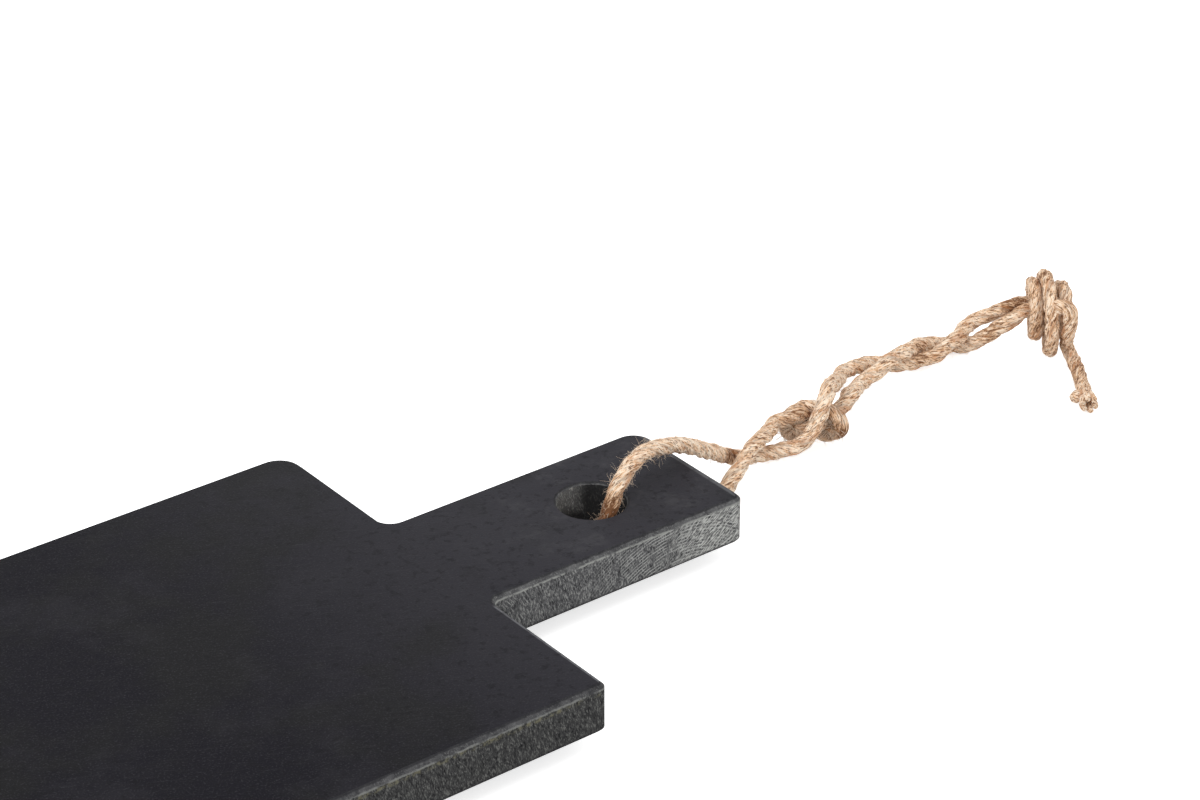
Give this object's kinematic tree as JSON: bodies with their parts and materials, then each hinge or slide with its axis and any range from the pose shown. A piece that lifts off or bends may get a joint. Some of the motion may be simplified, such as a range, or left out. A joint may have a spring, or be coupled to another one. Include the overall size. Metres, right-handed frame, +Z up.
{
  "type": "slate serving board",
  "caption": "Slate serving board with a paddle handle, a hanging hole in the handle and a twisted jute rope loop knotted through it.",
  "frame": {"origin": "on the table, under the middle of the slate board's length and width, at the feet of its bumpers", "axes": "+X along the board towards the handle's end, +Y across it to the left, +Z up from the table"},
  "size_m": [0.5824, 0.166, 0.0382],
  "materials": {
    "slate": "matte",
    "rubber": "matte",
    "jute": "matte"
  },
  "bodies": {
    "root": {"slate_board": "slate", "bumper_front_left": "rubber", "bumper_front_right": "rubber", "bumper_back_left": "rubber", "bumper_back_right": "rubber", "rope_upper_leg": "jute", "rope_lower_leg": "jute", "stopper_knot": "jute", "rope_far_leg": "jute", "end_knot": "jute", "rope_tail": "jute", "tail_tuft": "jute"}
  },
  "joints": []
}
